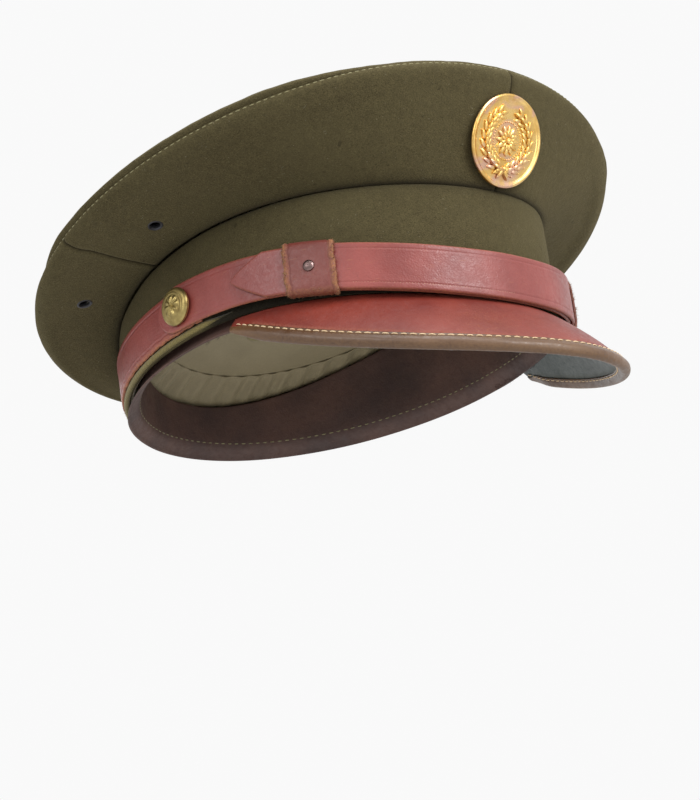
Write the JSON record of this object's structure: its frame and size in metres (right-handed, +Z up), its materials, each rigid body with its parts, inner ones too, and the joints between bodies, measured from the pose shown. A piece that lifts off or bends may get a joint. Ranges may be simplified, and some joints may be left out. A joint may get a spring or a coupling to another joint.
{
  "type": "peaked cap",
  "caption": "Olive wool peaked cap with a flared raised-front crown, russet leather visor, swinging chin strap between side buttons, and a round badge.",
  "frame": {"origin": "centre of the head opening, level with the band's lower edge at the sides and back", "axes": "+Z up towards the crown, -Y towards the visor, +X towards the wearer's left"},
  "size_m": [0.259, 0.2571, 0.1321],
  "materials": {
    "wool": "fuzzy milled wool cloth, olive drab",
    "spring_steel": "bright wire",
    "eyelet_enamel": "chipped black enamel",
    "buckram": "stiffened open-weave cloth",
    "piping_tape": "ribbed tape, light olive",
    "sweatband_leather": "worn smooth brown",
    "lining_cloth": "plain satin lining",
    "clear_film": "yellowed clear film",
    "visor_leather": "polished russet",
    "fibreboard": "pressed board",
    "visor_lining": "dull grey-green",
    "binding_leather": "glossy brown edge binding",
    "strap_leather": "polished russet, worn edges",
    "dark_metal": "darkened rivet",
    "gilt_brass": "gilt with a warm patina",
    "plain_brass": "plain turned",
    "aged_brass": "dulled by age"
  },
  "bodies": {
    "root": {"crown_top": "wool", "crown_welt": "wool", "quarter_front_right": "wool", "quarter_front_left": "wool", "quarter_rear_right": "wool", "quarter_rear_left": "wool", "band_cover": "wool", "crown_hoop": "spring_steel", "vent_eyelets": "eyelet_enamel", "vent_washers": "eyelet_enamel", "front_stiffener": "buckram", "band_stiffener": "buckram", "band_piping": "piping_tape", "sweatband": "sweatband_leather", "lining_side": "lining_cloth", "lining_tip": "lining_cloth", "sweat_shield": "clear_film", "visor_top": "visor_leather", "visor_core": "fibreboard", "visor_underside": "visor_lining", "visor_binding": "binding_leather", "rear_strap": "strap_leather", "badge_disc": "gilt_brass", "badge_emblem": "gilt_brass", "badge_post": "plain_brass", "badge_washer": "plain_brass"},
    "chin_strap": {"chin_strap_inner": "strap_leather", "chin_strap_outer": "strap_leather", "keeper_right": "strap_leather", "keeper_left": "strap_leather", "keeper_rivets": "dark_metal"},
    "right_button": {"button_dome_right": "aged_brass", "button_back_right": "plain_brass", "button_clip_right": "spring_steel"},
    "left_button": {"button_dome_left": "aged_brass", "button_back_left": "plain_brass", "button_clip_left": "spring_steel"},
    "badge_nut": {"badge_nut": "plain_brass"}
  },
  "joints": [
    {"name": "chin_strap_swing", "type": "hinge", "parent": "root", "child": "chin_strap", "pos_m": [0, 0, 0.014], "axis": [-1, 0, 0], "range_deg": [0, 10]},
    {"name": "right_button_spin", "type": "hinge", "parent": "root", "child": "right_button", "pos_m": [-0.0875, 0, 0.014], "axis": [-1, 0, 0], "continuous": true},
    {"name": "left_button_spin", "type": "hinge", "parent": "root", "child": "left_button", "pos_m": [0.0875, 0, 0.014], "axis": [1, 0, 0], "continuous": true},
    {"name": "badge_nut_spin", "type": "hinge", "parent": "root", "child": "badge_nut", "pos_m": [0, -0.10664, 0.05513], "axis": [0, -0.8905, -0.4551], "continuous": true}
  ]
}
